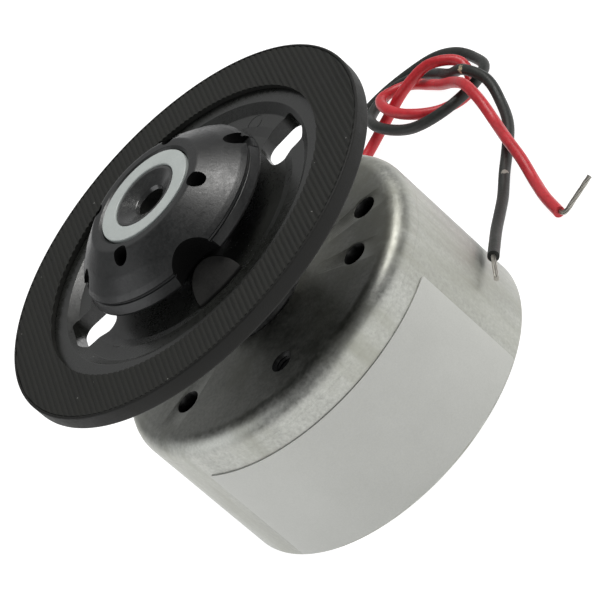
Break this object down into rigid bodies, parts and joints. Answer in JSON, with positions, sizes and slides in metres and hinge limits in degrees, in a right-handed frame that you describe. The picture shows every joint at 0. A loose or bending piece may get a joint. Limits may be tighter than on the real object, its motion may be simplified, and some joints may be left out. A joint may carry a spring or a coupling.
{
  "type": "disc drive spindle motor",
  "caption": "Flat round brushed DC motor with a disc turntable on its shaft, a friction pad, a spring-loaded centring cone and thin loose leads.",
  "frame": {"origin": "centre of the can's rear rim, on the shaft's axis, at the height of the surface that the motor stands on", "axes": "+Z along the shaft towards the disc; +Y towards the notch in the can's rear rim where the leads come out; +X completes the right-handed set"},
  "size_m": [0.0385, 0.044, 0.0234],
  "materials": {
    "zinc_steel": "zinc-plated deep-drawn steel, satin, faintly mottled",
    "sintered_bronze": "oil-filled sintered bronze, dull",
    "polished_steel": "ground steel",
    "silicon_steel": "stacked silicon-steel laminations",
    "brass": "stamped brass",
    "copper": "enamelled copper wire or turned copper",
    "solder": "tin solder",
    "tinned_copper": "twisted tinned copper strands",
    "ferrite": "sintered ferrite, matt charcoal",
    "black_nylon": "moulded black nylon",
    "turntable_plastic": "moulded black polycarbonate, semi-gloss",
    "cone_plastic": "moulded black acetal, semi-gloss",
    "pad_rubber": "dark grey friction pad with a fine straight grain",
    "pale_acetal": "pale grey plastic",
    "label_paper": "blank pale grey self-adhesive label",
    "red_vinyl": "red vinyl insulation",
    "black_vinyl": "black vinyl insulation",
    "spring_steel": "bright spring wire"
  },
  "bodies": {
    "stator": {"can_housing": "zinc_steel", "front_bearing": "sintered_bronze", "label": "label_paper", "rear_cap": "black_nylon", "thrust_plate": "polished_steel", "rear_bearing": "sintered_bronze", "terminal_positive": "brass", "terminal_negative": "brass", "brush_finger_positive": "brass", "brush_finger_negative": "brass", "solder_joint_positive": "solder", "solder_joint_negative": "solder", "field_magnet_left": "ferrite", "field_magnet_right": "ferrite", "red_lead": "red_vinyl", "black_lead": "black_vinyl", "red_lead_strands": "tinned_copper", "black_lead_strands": "tinned_copper"},
    "rotor": {"shaft": "polished_steel", "armature_core": "silicon_steel", "coil_1": "copper", "coil_2": "copper", "coil_3": "copper", "commutator_sleeve": "black_nylon", "commutator_segment_1": "copper", "commutator_segment_2": "copper", "commutator_segment_3": "copper", "varistor_ring": "ferrite", "shaft_washer": "pale_acetal", "turntable": "turntable_plastic", "friction_pad": "pad_rubber", "retaining_ring": "pale_acetal", "cone_spring": "spring_steel"},
    "cone": {"centring_cone": "cone_plastic"}
  },
  "joints": [
    {"name": "spindle_spin", "type": "hinge", "parent": "stator", "child": "rotor", "pos_m": [0, 0, 0.0123], "axis": [0, 0, 1], "continuous": true},
    {"name": "cone_press", "type": "slide", "parent": "rotor", "child": "cone", "axis": [0, 0, 1], "range_m": [-0.0012, 0], "stiffness_N_per_m": 500, "springref_m": 0.0008, "deforming": ["cone_spring"]}
  ]
}
